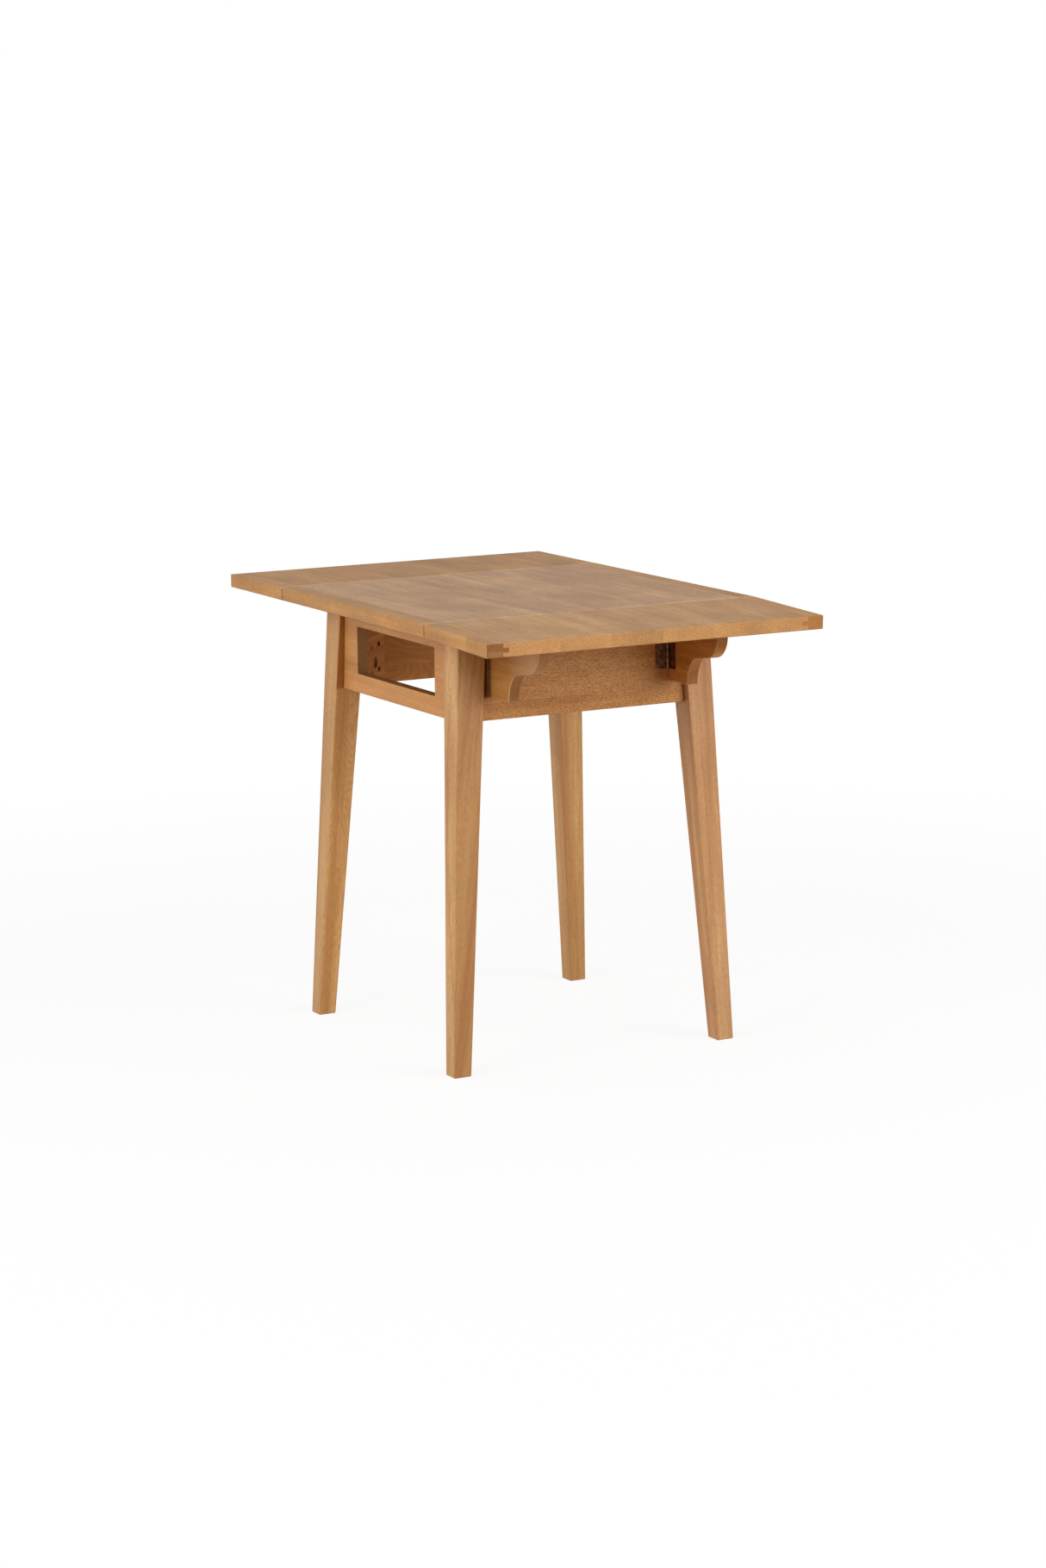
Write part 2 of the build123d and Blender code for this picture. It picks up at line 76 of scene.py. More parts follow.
def makeRubberwood(nodeName, wood, grain, across):
    material, tree = newMaterial(f"{wood['finish']} rubberwood {nodeName}")
    along = Vector(grain).normalized()
    side = Vector(across)
    side = (side - along * side.dot(along)).normalized()
    turn = Matrix((along, side, along.cross(side))).to_euler("XYZ")
    place = addNode(tree, "ShaderNodeTexCoord")
    board = addNode(tree, "ShaderNodeMapping",
                    {"Vector": place.outputs["Object"], "Rotation": turn}).outputs[0]
    axes = addNode(tree, "ShaderNodeSeparateXYZ", {0: board}).outputs

    # boards glued side by side, or end to end where jointedAlong is set, each sawn from another place
    joint = axes["X" if wood["jointedAlong"] else "Y"]
    fromLine = addNode(tree, "ShaderNodeMath",
                       {0: joint, 1: wood["glueLine"] * mm}, operation="SUBTRACT").outputs[0]
    count = addNode(tree, "ShaderNodeMath",
                    {0: fromLine, 1: wood["boardWidth"] * mm}, operation="DIVIDE").outputs[0]
    whole = addNode(tree, "ShaderNodeMath", {0: count}, operation="FLOOR").outputs[0]
    key = addNode(tree, "ShaderNodeMath",
                  {0: whole, 1: wood["seed"] * seedStep}, operation="ADD").outputs[0]
    chance = addNode(tree, "ShaderNodeTexWhiteNoise", {"W": key}, noise_dimensions="1D").outputs
    cut = addNode(tree, "ShaderNodeVectorMath",
                  {0: chance["Color"], 1: wood["boardShift"], 2: board},
                  operation="MULTIPLY_ADD").outputs[0]

    # the board's space drawn out along the grain, for marks of a given length and width
    drawn = {}
    for mark in ("band", "bow", "fibre", "streak", "pore"):
        length, width = wood[mark + "Length"] * mm, wood[mark + "Width"] * mm
        drawn[mark] = addNode(tree, "ShaderNodeVectorMath",
                              {0: cut, 1: (1 / length, 1 / width, 1 / width)},
                              operation="MULTIPLY").outputs[0]

    # growth bands
    band = addNode(tree, "ShaderNodeTexNoise",
                   {"Vector": drawn["band"], "Scale": 1.0, "Detail": 4.0,
                    "Roughness": 0.6, "Distortion": 0.5}).outputs[0]
    tone = addNode(tree, "ShaderNodeValToRGB", {0: band})
    ramp = tone.color_ramp.elements
    ramp[0].position = 0.5 - wood["bandSoftness"]
    ramp[0].color = srgb(wood["dark"])
    ramp[1].position = 0.5 + wood["bandSoftness"]
    ramp[1].color = srgb(wood["light"])
    ramp.new(0.5).color = srgb(wood["middle"])
    colour = tone.outputs[0]

    # year rings, cut flat into long bows
    bow = addNode(tree, "ShaderNodeTexNoise",
                  {"Vector": drawn["bow"], "Scale": 1.0, "Detail": 1.5}).outputs[0]
    rings = addNode(tree, "ShaderNodeMath", {0: bow, 1: wood["rings"]}, operation="MULTIPLY").outputs[0]
    inRing = addNode(tree, "ShaderNodeMath", {0: rings}, operation="FRACT").outputs[0]
    share = addNode(tree, "ShaderNodeMapRange",
                    {0: inRing, 1: wood["ringFrom"], 2: 1.0, 3: 0.0, 4: wood["ringAmount"]}).outputs[0]
    colour = addNode(tree, "ShaderNodeMix",
                     {0: share, 6: colour, 7: srgb(wood["streak"])}, data_type="RGBA").outputs[2]

    # fine fibre lines
    fibre = addNode(tree, "ShaderNodeTexNoise",
                    {"Vector": drawn["fibre"], "Scale": 1.0, "Detail": 2.0, "Roughness": 0.5}).outputs[0]
    share = addNode(tree, "ShaderNodeMapRange",
                    {0: fibre, 1: wood["fibreFrom"], 2: wood["fibreFull"],
                     3: 0.0, 4: wood["fibreAmount"]}).outputs[0]
    colour = addNode(tree, "ShaderNodeMix",
                     {0: share, 6: colour, 7: srgb(wood["dark"])}, data_type="RGBA").outputs[2]

    # redder heartwood streaks
    streak = addNode(tree, "ShaderNodeTexNoise",
                     {"Vector": drawn["streak"], "Scale": 1.0, "Detail": 2.0, "Distortion": 0.3}).outputs[0]
    share = addNode(tree, "ShaderNodeMapRange",
                    {0: streak, 1: wood["streakFrom"], 2: wood["streakFull"],
                     3: 0.0, 4: wood["streakAmount"]}).outputs[0]
    colour = addNode(tree, "ShaderNodeMix",
                     {0: share, 6: colour, 7: srgb(wood["streak"])}, data_type="RGBA").outputs[2]

    # each board has a shade of its own, with soft clouds in it
    shade = addNode(tree, "ShaderNodeMapRange",
                    {0: chance["Value"], 1: 0.0, 2: 1.0,
                     3: wood["shade"] - wood["boardSpread"],
                     4: wood["shade"] + wood["boardSpread"]}).outputs[0]
    cloud = addNode(tree, "ShaderNodeTexNoise",
                    {"Vector": cut, "Scale": 1 / (wood["cloudSize"] * mm),
                     "Detail": 3.0, "Roughness": 0.6}).outputs[0]
    cloudy = addNode(tree, "ShaderNodeMapRange",
                     {0: cloud, 1: wood["cloudFrom"], 2: wood["cloudFull"],
                      3: 1 - wood["cloudAmount"], 4: 1 + wood["cloudAmount"]}).outputs[0]
    value = addNode(tree, "ShaderNodeMath", {0: shade, 1: cloudy}, operation="MULTIPLY").outputs[0]
    colour = addNode(tree, "ShaderNodeHueSaturation", {"Value": value, "Color": colour}).outputs[0]

    # a thin dark glue line between boards
    offGlue = addNode(tree, "ShaderNodeMath", {0: count, 1: 0.5}, operation="PINGPONG").outputs[0]
    share = addNode(tree, "ShaderNodeMapRange",
                    {0: offGlue, 1: wood["glueTo"] / wood["boardWidth"],
                     2: wood["glueFade"] / wood["boardWidth"],
                     3: wood["glueAmount"], 4: 0.0}).outputs[0]
    colour = addNode(tree, "ShaderNodeMix",
                     {0: share, 6: colour, 7: srgb(wood["pore"])}, data_type="RGBA").outputs[2]

    # pores, real ones are 0.2 mm wide: drawn wide enough to show in the render
    pore = addNode(tree, "ShaderNodeTexVoronoi",
                   {"Vector": drawn["pore"], "Scale": 1.0}).outputs["Distance"]
    poreShare = addNode(tree, "ShaderNodeMapRange",
                        {0: pore, 1: wood["poreCore"], 2: wood["poreReach"],
                         3: wood["poreAmount"], 4: 0.0}).outputs[0]
    colour = addNode(tree, "ShaderNodeMix",
                     {0: poreShare, 6: colour, 7: srgb(wood["pore"])}, data_type="RGBA").outputs[2]

    # end grain: its own tone, speckled with open pores
    endwise = addNode(tree, "ShaderNodeVectorMath",
                      {0: place.outputs["Normal"], 1: along}, operation="DOT_PRODUCT").outputs["Value"]
    endSize = addNode(tree, "ShaderNodeMath", {0: endwise}, operation="ABSOLUTE").outputs[0]
    speckCells = [1 / (wood["speck" + size] * mm) for size in ("Depth", "Length", "Width")]
    speckAt = addNode(tree, "ShaderNodeVectorMath",
                      {0: cut, 1: speckCells}, operation="MULTIPLY").outputs[0]
    speck = addNode(tree, "ShaderNodeTexVoronoi", {"Vector": speckAt, "Scale": 1.0}).outputs["Distance"]
    share = addNode(tree, "ShaderNodeMapRange",
                    {0: speck, 1: wood["speckCore"], 2: wood["speckReach"], 3: 1.0, 4: 0.0}).outputs[0]
    endTone = addNode(tree, "ShaderNodeMix",
                      {0: share, 6: srgb(wood["endLight"]), 7: srgb(wood["endDark"])},
                      data_type="RGBA").outputs[2]
    endTone = addNode(tree, "ShaderNodeHueSaturation", {"Value": cloudy, "Color": endTone}).outputs[0]
    share = addNode(tree, "ShaderNodeMapRange",
                    {0: endSize, 1: endFrom, 2: endFull, 3: 0.0, 4: wood["endAmount"]}).outputs[0]
    colour = addNode(tree, "ShaderNodeMix", {0: share, 6: colour, 7: endTone}, data_type="RGBA").outputs[2]
    colour = addMarks(tree, wood, place, cloud, colour)

    # cut ends drink the lacquer and stay dull, as the pores do
    dry = addNode(tree, "ShaderNodeMapRange",
                  {0: endSize, 1: endFrom, 2: endFull, 3: 0.0, 4: 1.0}).outputs[0]
    dryMost = addNode(tree, "ShaderNodeMath", {0: dry, 1: poreShare}, operation="MAXIMUM").outputs[0]
    dull = addNode(tree, "ShaderNodeMapRange",
                   {0: dryMost, 1: 0.0, 2: 1.0,
                    3: wood["roughness"], 4: wood["roughness"] + wood["dullBy"]}).outputs[0]
    relief = addNode(tree, "ShaderNodeMath", {0: fibre, 1: poreShare}, operation="SUBTRACT").outputs[0]
    bump = addNode(tree, "ShaderNodeBump",
                   {"Height": relief, "Strength": wood["relief"],
                    "Distance": wood["reliefDepth"] * mm}).outputs[0]
    surface = addNode(tree, "ShaderNodeBsdfPrincipled",
                      {"Base Color": colour, "Roughness": dull, "Normal": bump,
                       "IOR": wood["ior"], "Specular IOR Level": wood["sheen"]})
    addNode(tree, "ShaderNodeOutputMaterial", {"Surface": surface.outputs[0]})
    return material


# marks of making and use, and painted light and shade, each only on boards whose values name it
def addMarks(tree, wood, place, cloud, colour):
    spot = addNode(tree, "ShaderNodeSeparateXYZ", {0: place.outputs["Object"]}).outputs
    facing = addNode(tree, "ShaderNodeSeparateXYZ", {0: place.outputs["Normal"]}).outputs

    # the face that looks to one given side is drawn darker
    if "darkSide" in wood:
        darkSide = wood["darkSide"]
        towards = addNode(tree, "ShaderNodeVectorMath",
                          {0: place.outputs["Normal"], 1: darkSide["side"]},
                          operation="DOT_PRODUCT").outputs["Value"]
        share = addNode(tree, "ShaderNodeMapRange",
                        {0: towards, 1: sideFrom, 2: sideFull, 3: 0.0, 4: darkSide["amount"]}).outputs[0]
        colour = addNode(tree, "ShaderNodeMix",
                         {0: share, 6: colour, 7: srgb(darkSide["colour"])}, data_type="RGBA").outputs[2]

    # painted shadow: the apron beside each leg, above the brackets' lower edge, is drawn nearly black, for
    # the slot between leg and bracket
    if "slotShadow" in wood:
        slotShadow = wood["slotShadow"]
        offCentre = addNode(tree, "ShaderNodeMath", {0: spot["X"]}, operation="ABSOLUTE").outputs[0]
        near = addNode(tree, "ShaderNodeMapRange",
                       {0: offCentre, 1: slotShadow["from"] * mm, 2: slotShadow["to"] * mm,
                        3: 0.0, 4: slotShadow["amount"]}).outputs[0]
        above = addNode(tree, "ShaderNodeMapRange",
                        {0: spot["Z"], 1: slotShadow["low"] * mm, 2: slotShadow["high"] * mm,
                         3: 0.0, 4: 1.0}).outputs[0]
        share = addNode(tree, "ShaderNodeMath", {0: near, 1: above}, operation="MULTIPLY").outputs[0]
        colour = addNode(tree, "ShaderNodeMix",
                         {0: share, 6: colour, 7: srgb(slotShadow["colour"])}, data_type="RGBA").outputs[2]

    # painted shade: the leg's face that looks in along the end rail, above the rail's lower edge, is drawn
    # darker and redder, for the shaded recess beside the rail
    if "recessShade" in wood:
        recessShade = wood["recessShade"]
        inward = addNode(tree, "ShaderNodeMath",
                         {0: facing["Y"], 1: wood["inside"]}, operation="MULTIPLY").outputs[0]
        inner = addNode(tree, "ShaderNodeMapRange",
                        {0: inward, 1: sideFrom, 2: sideFull, 3: 0.0, 4: recessShade["amount"]}).outputs[0]
        above = addNode(tree, "ShaderNodeMapRange",
                        {0: spot["Z"], 1: recessShade["low"] * mm, 2: recessShade["high"] * mm,
                         3: 0.0, 4: 1.0}).outputs[0]
        share = addNode(tree, "ShaderNodeMath", {0: inner, 1: above}, operation="MULTIPLY").outputs[0]
        colour = addNode(tree, "ShaderNodeMix",
                         {0: share, 6: colour, 7: srgb(recessShade["colour"])}, data_type="RGBA").outputs[2]

    # painted shade: upward faces, which lie under the table top, are drawn darker
    if "underTopShade" in wood:
        underTopShade = wood["underTopShade"]
        share = addNode(tree, "ShaderNodeMapRange",
                        {0: facing["Z"], 1: sideFrom, 2: sideFull, 3: 0.0, 4: underTopShade["amount"]}).outputs[0]
        colour = addNode(tree, "ShaderNodeMix",
                         {0: share, 6: colour, 7: srgb(underTopShade["colour"])}, data_type="RGBA").outputs[2]

    # painted highlight: the eased edges, where the face turns from the flank, are drawn pale as if catching
    # the light
    if "rub" in wood:
        rub = wood["rub"]
        flat = addNode(tree, "ShaderNodeVectorMath",
                       {0: place.outputs["Normal"], 1: wood["flank"]},
                       operation="DOT_PRODUCT").outputs["Value"]
        tilt = addNode(tree, "ShaderNodeMath", {0: flat}, operation="ABSOLUTE").outputs[0]
        offTilt = addNode(tree, "ShaderNodeMath",
                          {0: tilt, 1: rub["tilt"]}, operation="SUBTRACT").outputs[0]
        tiltSize = addNode(tree, "ShaderNodeMath", {0: offTilt}, operation="ABSOLUTE").outputs[0]
        share = addNode(tree, "ShaderNodeMapRange",
                        {0: tiltSize, 1: rub["full"], 2: rub["none"], 3: rub["amount"], 4: 0.0}).outputs[0]
        colour = addNode(tree, "ShaderNodeMix",
                         {0: share, 6: colour, 7: srgb(wood["bare"])}, data_type="RGBA").outputs[2]

        # painted reflection: the end that sticks out into the light is drawn paler, its flanks most, as a
        # sheen of the light from the left
        if "paleRamp" in wood:
            paleRamp = wood["paleRamp"]
            outward = addNode(tree, "ShaderNodeMath", {0: spot["Y"]}, operation="ABSOLUTE").outputs[0]
            far = addNode(tree, "ShaderNodeMapRange",
                          {0: outward, 1: paleRamp["from"] * mm, 2: paleRamp["to"] * mm,
                           3: 0.0, 4: paleRamp["amount"]}).outputs[0]
            onFlank = addNode(tree, "ShaderNodeMapRange",
                              {0: tilt, 1: paleRamp["flankFrom"], 2: paleRamp["flankFull"],
                               3: paleRamp["edgeShare"], 4: 1.0}).outputs[0]
            share = addNode(tree, "ShaderNodeMath", {0: far, 1: onFlank}, operation="MULTIPLY").outputs[0]
            colour = addNode(tree, "ShaderNodeMix",
                             {0: share, 6: colour, 7: srgb(paleRamp["colour"])}, data_type="RGBA").outputs[2]

    # a torn spot made good with paler filler
    if "fill" in wood:
        fill = wood["fill"]
        middle = [value * mm for value in fill["at"]]
        reach = [value * mm for value in fill["size"]]
        off = addNode(tree, "ShaderNodeVectorMath",
                      {0: place.outputs["Object"], 1: middle}, operation="SUBTRACT").outputs[0]
        inFill = addNode(tree, "ShaderNodeVectorMath", {0: off, 1: reach}, operation="DIVIDE").outputs[0]
        within = addNode(tree, "ShaderNodeVectorMath", {0: inFill}, operation="ABSOLUTE").outputs[0]
        sides = addNode(tree, "ShaderNodeSeparateXYZ", {0: within}).outputs
        most = addNode(tree, "ShaderNodeMath",
                       {0: sides["X"], 1: sides["Z"]}, operation="MAXIMUM").outputs[0]
        share = addNode(tree, "ShaderNodeMapRange",
                        {0: most, 1: fill["full"], 2: fill["none"], 3: fill["amount"], 4: 0.0}).outputs[0]
        colour = addNode(tree, "ShaderNodeMix",
                         {0: share, 6: colour, 7: srgb(fill["colour"])}, data_type="RGBA").outputs[2]

    # painted highlight: the eased seam edges along the top are drawn pale as if catching the light, here
    # more and there less
    if "seam" in wood:
        seam = wood["seam"]
        offMiddle = addNode(tree, "ShaderNodeMath", {0: spot["Y"]}, operation="ABSOLUTE").outputs[0]
        offSeam = addNode(tree, "ShaderNodeMath",
                          {0: offMiddle, 1: seam["at"] * mm}, operation="SUBTRACT").outputs[0]
        gap = addNode(tree, "ShaderNodeMath", {0: offSeam}, operation="ABSOLUTE").outputs[0]
        worn = addNode(tree, "ShaderNodeMapRange",
                       {0: gap, 1: seam["highlightTo"] * mm, 2: seam["highlightFade"] * mm,
                        3: seam["highlightAmount"], 4: 0.0},
                       interpolation_type="SMOOTHSTEP").outputs[0]
        patchy = addNode(tree, "ShaderNodeMapRange",
                         {0: cloud, 1: seam["patchFrom"], 2: seam["patchFull"],
                          3: seam["patchLeast"], 4: 1.0}).outputs[0]
        upper = addNode(tree, "ShaderNodeMath",
                        {0: spot["Z"], 1: seam["above"] * mm}, operation="GREATER_THAN").outputs[0]
        highlitHere = addNode(tree, "ShaderNodeMath", {0: worn, 1: patchy}, operation="MULTIPLY").outputs[0]
        share = addNode(tree, "ShaderNodeMath", {0: highlitHere, 1: upper}, operation="MULTIPLY").outputs[0]
        colour = addNode(tree, "ShaderNodeMix",
                         {0: share, 6: colour, 7: srgb(wood["bare"])}, data_type="RGBA").outputs[2]

        # painted shade: lower down, the seam is drawn dark for the shadow in its gap
        lower = addNode(tree, "ShaderNodeMath", {0: 1.0, 1: upper}, operation="SUBTRACT").outputs[0]
        crack = addNode(tree, "ShaderNodeMapRange",
                        {0: gap, 1: seam["gapShadeTo"] * mm, 2: seam["gapShadeFade"] * mm,
                         3: seam["gapShadeAmount"], 4: 0.0}).outputs[0]
        share = addNode(tree, "ShaderNodeMath", {0: crack, 1: lower}, operation="MULTIPLY").outputs[0]
        colour = addNode(tree, "ShaderNodeMix",
                         {0: share, 6: colour, 7: srgb(seam["gapShade"])}, data_type="RGBA").outputs[2]
    return colour


# what every board of the table shares: sizes in millimetres, but boardShift in metres
lacquered = {
    "finish": "lacquered",
    "dark": "#a26c33", "middle": "#b78243", "light": "#c69353", "streak": "#985a2c", "pore": "#77471f",
    # bare: the pale colour that the painted highlights on eased edges and seams are drawn in
    "endLight": "#a8703c", "endDark": "#7e4c26", "bare": "#d6bb9c",
    "bandLength": 620, "bandWidth": 34, "bandSoftness": 0.19,
    "bowLength": 143, "bowWidth": 62, "rings": 30, "ringFrom": 0.45, "ringAmount": 0.12,
    "fibreLength": 150, "fibreWidth": 3.2, "fibreFrom": 0.35, "fibreFull": 0.75, "fibreAmount": 0.35,
    "streakLength": 900, "streakWidth": 15, "streakFrom": 0.52, "streakFull": 0.68, "streakAmount": 0.3,
    "poreLength": 12, "poreWidth": 2.6, "poreCore": 0.1, "poreReach": 0.45, "poreAmount": 0.3,
    "cloudSize": 120, "cloudFrom": 0.3, "cloudFull": 0.7, "cloudAmount": 0.06,
    "speckDepth": 10 / 3, "speckLength": 2.6, "speckWidth": 2.6, "speckCore": 0.15, "speckReach": 0.6,
    "boardWidth": 400, "boardShift": (5.0, 0.4, 0.4), "boardSpread": 0.04, "shade": 1.0,
    "jointedAlong": False,
    "glueLine": -200, "glueTo": 0.5, "glueFade": 1.2, "glueAmount": 0.0, "endAmount": 0.3,
    "roughness": 0.46, "dullBy": 0.25, "relief": 0.25, "reliefDepth": 0.25, "ior": 1.5, "sheen": 0.3,
}

# tops: boards edge-glued across the seams, their sawn ends stay light
topWood = {
    **lacquered,
    "dark": "#a9815e", "middle": "#b58e67", "light": "#bf9a72", "endLight": "#c49561", "endDark": "#a47547",
    "boardWidth": 92, "boardSpread": 0.035, "glueLine": 8, "glueAmount": 0.15,
    "bandWidth": 46, "bandSoftness": 0.2,
    "fibreAmount": 0.3, "streakAmount": 0.25, "poreLength": 22, "poreAmount": 0.25, "cloudAmount": 0.16,
    "speckLength": 3.6, "speckWidth": 1.3, "endAmount": 0.85, "roughness": 0.58, "sheen": 0.2,
    # seam: painted highlight along the seam edges on top, painted shade in the seam gap below
    "seam": {"at": 263.3, "above": 739.5, "highlightTo": 0.5, "highlightFade": 9, "highlightAmount": 0.42,
             "patchFrom": 0.38, "patchFull": 0.62, "patchLeast": 0.4,
             "gapShadeTo": 0.9, "gapShadeFade": 1.35, "gapShadeAmount": 0.8, "gapShade": "#4e2c12"},
}
# the leaves are drawn more golden than the middle, whose paler, greyer tones are partly a painted sheen
topPanels = {
    "leaf_front_panel": {"seed": 3, "dark": "#aa7f53", "middle": "#b68c5b", "light": "#c09767"},
    "centre_panel": {"seed": 5},
    "leaf_back_panel": {
        "seed": 8, "dark": "#a97846", "middle": "#b5854e", "light": "#bf9059", "shade": 0.89},
}
for panel, ownValues in topPanels.items():
    setMaterial(panel, makeRubberwood(panel, {**topWood, **ownValues}, acrossSeams, alongSeams))

# battens: one strip along each end, the long ones jointed from two lengths, their end grain dark
battenWood = {
    **topWood,
    "dark": "#a47747", "middle": "#b0834f", "light": "#ba8f5b", "endLight": "#8b5933", "endDark": "#704325",
    "jointedAlong": True, "boardWidth": 350, "boardSpread": 0.05, "glueLine": -55,
    "bandWidth": 20, "bandSoftness": 0.22, "fibreLength": 50, "fibreWidth": 1.7, "fibreAmount": 0.5,
    "streakAmount": 0.2, "poreLength": 9, "poreWidth": 1.5, "poreAmount": 0.4,
}
battens = {
    "leaf_front_batten_left": {
        "seed": 2,
        "fill": {"at": (-289, -473, 717), "size": (12.5, 10, 5.8), "full": 0.85, "none": 1.1,
                 "amount": 0.8, "colour": "#9b7449"}},
    "leaf_front_batten_right": {"seed": 4, "endLight": "#aa7541", "endDark": "#946132"},
    "centre_batten_left": {"seed": 6},
    "centre_batten_right": {"seed": 9},
    "leaf_back_batten_left": {"seed": 11},
    "leaf_back_batten_right": {"seed": 12},
}
for batten, ownValues in battens.items():
    setMaterial(batten, makeRubberwood(batten, {**battenWood, **ownValues}, acrossSeams, alongSeams))
print("top finished:", len(topPanels) + len(battens), "boards")

# legs: a little paler than the rails, the grain leans with the leg, one is glued up from strips
legWood = {
    **lacquered,
    "dark": "#a57644", "middle": "#b98e58", "light": "#c8a06a",
    "boardSpread": 0.02, "bandWidth": 24, "fibreLength": 60, "fibreWidth": 2.2, "fibreAmount": 0.5,
    "streakWidth": 17, "streakAmount": 0.4, "poreLength": 10, "poreWidth": 1.5, "poreAmount": 0.35,
    "lean": (41, 38, 719.5),  # how far a leg leans out, both ways, over its height
    "twist": (0, 0, 0),  # how far its grain runs off that line over the same height
    # painted shade in the recess beside the end rail
    "recessShade": {"low": 568, "high": 574, "amount": 0.65, "colour": "#954c13"},
}
legs = {
    "leg_front_left": {
        "corner": (-1, -1), "seed": 13, "shade": 1.04,
        "ringAmount": 0.2, "bowLength": 300, "twist": (70, 0, 0),
        "darkSide": {"side": (0, -1, 0), "amount": 0.1, "colour": "#985a2c"}},
    "leg_front_right": {
        "corner": (1, -1), "seed": 14, "shade": 1.1,
        "dark": "#a8794b", "middle": "#bb8f60", "light": "#caa274"},
    "leg_back_left": {
        "corner": (-1, 1), "seed": 15, "shade": 1.3,
        "boardWidth": 60, "boardSpread": 0.06, "glueAmount": 0.4,
        "glueShift": 5, "streakAmount": 0.45, "ringAmount": 0.3, "bowLength": 260,
        "darkSide": {"side": (-1, 0, 0), "amount": 0.35, "colour": "#8c7046"}},
    "leg_back_right": {"corner": (1, 1), "seed": 16, "shade": 1.06, "fibreLength": 40, "fibreAmount": 0.6},
}
for leg, ownValues in legs.items():
    signX, signY = ownValues["corner"]
    oneLeg = {**legWood, **ownValues, "inside": -signY}
    if "glueShift" in oneLeg:
        low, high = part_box(leg)
        oneLeg["glueLine"] = (low.x + high.x) / 2 / mm + oneLeg["glueShift"]
    leanX, leanY, rise = oneLeg["lean"]
    grain = Vector((-signX * leanX, -signY * leanY, rise)) + Vector(oneLeg["twist"])
    setMaterial(leg, makeRubberwood(leg, oneLeg, grain, alongSeams))
print("legs finished:", len(legs))

# aprons: one wide board each, the front one cut so that the pores show as dashes,
# the back one with bowed rings
apronWood = {
    **lacquered,
    "dark": "#a06c36", "middle": "#b58247", "light": "#c49357",
    "bandWidth": 40, "streakAmount": 0.15, "poreLength": 5, "poreWidth": 1.3, "poreReach": 0.58,
}
aprons = {
    "apron_front": {
        # drawn lighter, a painted light for the face in the leaf's shadow
        "seed": 21, "shade": 1.22, "ringAmount": 0.1, "poreAmount": 0.85,
        "fibreLength": 35, "fibreWidth": 1.7, "fibreAmount": 0.6,
        # painted shadow in the slot between leg and bracket
        "slotShadow": {"from": 175, "to": 178, "low": 606, "high": 612, "amount": 0.9, "colour": "#2a1206"}},
    "apron_back": {
        # drawn lighter, a painted light for the inside face in shade
        "seed": 22, "shade": 1.32, "rings": 26, "ringAmount": 0.5, "bowLength": 300, "bowWidth": 85,
        "poreAmount": 0.12},
}
for apron, ownValues in aprons.items():
    setMaterial(apron, makeRubberwood(apron, {**apronWood, **ownValues}, alongSeams, upright))

# end frames: rails and cheeks, all with the grain across the table
endWood = {
    **lacquered,
    "dark": "#9a6630", "middle": "#ae7a40", "light": "#bd8b50", "endLight": "#957048", "endDark": "#8b663f",
    "shade": 1.13, "endAmount": 0.85, "bandWidth": 18, "bandSoftness": 0.28, "streakAmount": 0.15,
    "fibreLength": 40, "fibreWidth": 2.2, "fibreAmount": 0.5,
    "poreLength": 5, "poreWidth": 1.5, "poreAmount": 0.5,
    # painted shade on the upward faces under the table top
    "firstSeed": 31, "underTopShade": {"amount": 0.6, "colour": "#54361f"},
}
endPieces = sorted(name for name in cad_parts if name.startswith("end_"))
for seed, piece in enumerate(endPieces, start=endWood["firstSeed"]):
    setMaterial(piece, makeRubberwood(piece, {**endWood, "seed": seed}, acrossSeams, upright))
print("rails finished:", len(aprons) + len(endPieces))

# brackets: a slightly redder board with the grain along it,
# so out from the apron at the front and along the apron at the back
bracketWood = {
    **lacquered,
    "dark": "#9a632e", "middle": "#ae783c", "light": "#bc884b", "endLight": "#8e5f38", "endDark": "#744828",
    "bandWidth": 20, "poreAmount": 0.25, "endAmount": 0.8, "sheen": 0.25,
    # painted highlight on the eased edges
    "rub": {"tilt": 0.7, "full": 0.1, "none": 0.2, "amount": 0.6},
}
brackets = {
    # the front pair are lit and shaded copies of one wood: the left drawn darker as painted shade, the
    # right lighter as painted light
    "bracket_front_left": {
        "seed": 51, "shade": 0.86, "grain": acrossSeams, "flank": alongSeams,
        "poreLength": 5, "poreWidth": 1.6, "poreAmount": 0.5,
        # painted reflection: the nose drawn paler
        "paleRamp": {"from": 290, "to": 370, "flankFrom": 0.8, "flankFull": 0.95, "edgeShare": 0.45,
                 "amount": 0.6, "colour": "#cfa678"}},
    "bracket_front_right": {
        "seed": 52, "shade": 1.42, "grain": acrossSeams, "flank": alongSeams, "poreAmount": 0.4},
    "bracket_back_left": {"seed": 53, "grain": alongSeams, "flank": acrossSeams},
    "bracket_back_right": {"seed": 54, "grain": alongSeams, "flank": acrossSeams},
}
for bracket, ownValues in brackets.items():
    setMaterial(bracket, makeRubberwood(bracket, {**bracketWood, **ownValues}, ownValues["grain"], upright))

# corner blocks: the same wood, sanded but not lacquered, so dull, and drawn paler, partly for the bare wood
# and partly as painted light inside the shaded frame
blockWood = {
    **lacquered,
    "finish": "bare", "dark": "#bd8850", "middle": "#cf9a60", "light": "#dcaa72",
    "shade": 1.15, "boardSpread": 0.08, "endAmount": 0.2, "roughness": 0.7, "sheen": 0.25, "firstSeed": 61,
}
blocks = sorted(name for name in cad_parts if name.startswith("corner_block_") and "screw" not in name)
for seed, block in enumerate(blocks, start=blockWood["firstSeed"]):
    low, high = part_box(block)
    slant = 1 if (low.x + high.x) * (low.y + high.y) < 0 else -1
    setMaterial(block, makeRubberwood(block, {**blockWood, "seed": seed}, (1, slant, 0), upright))
print("brackets and blocks finished:", len(brackets) + len(blocks))


# plated steel: the eye gets a dark plating over a fine grit,
# which patches of use have rubbed lighter and smoother

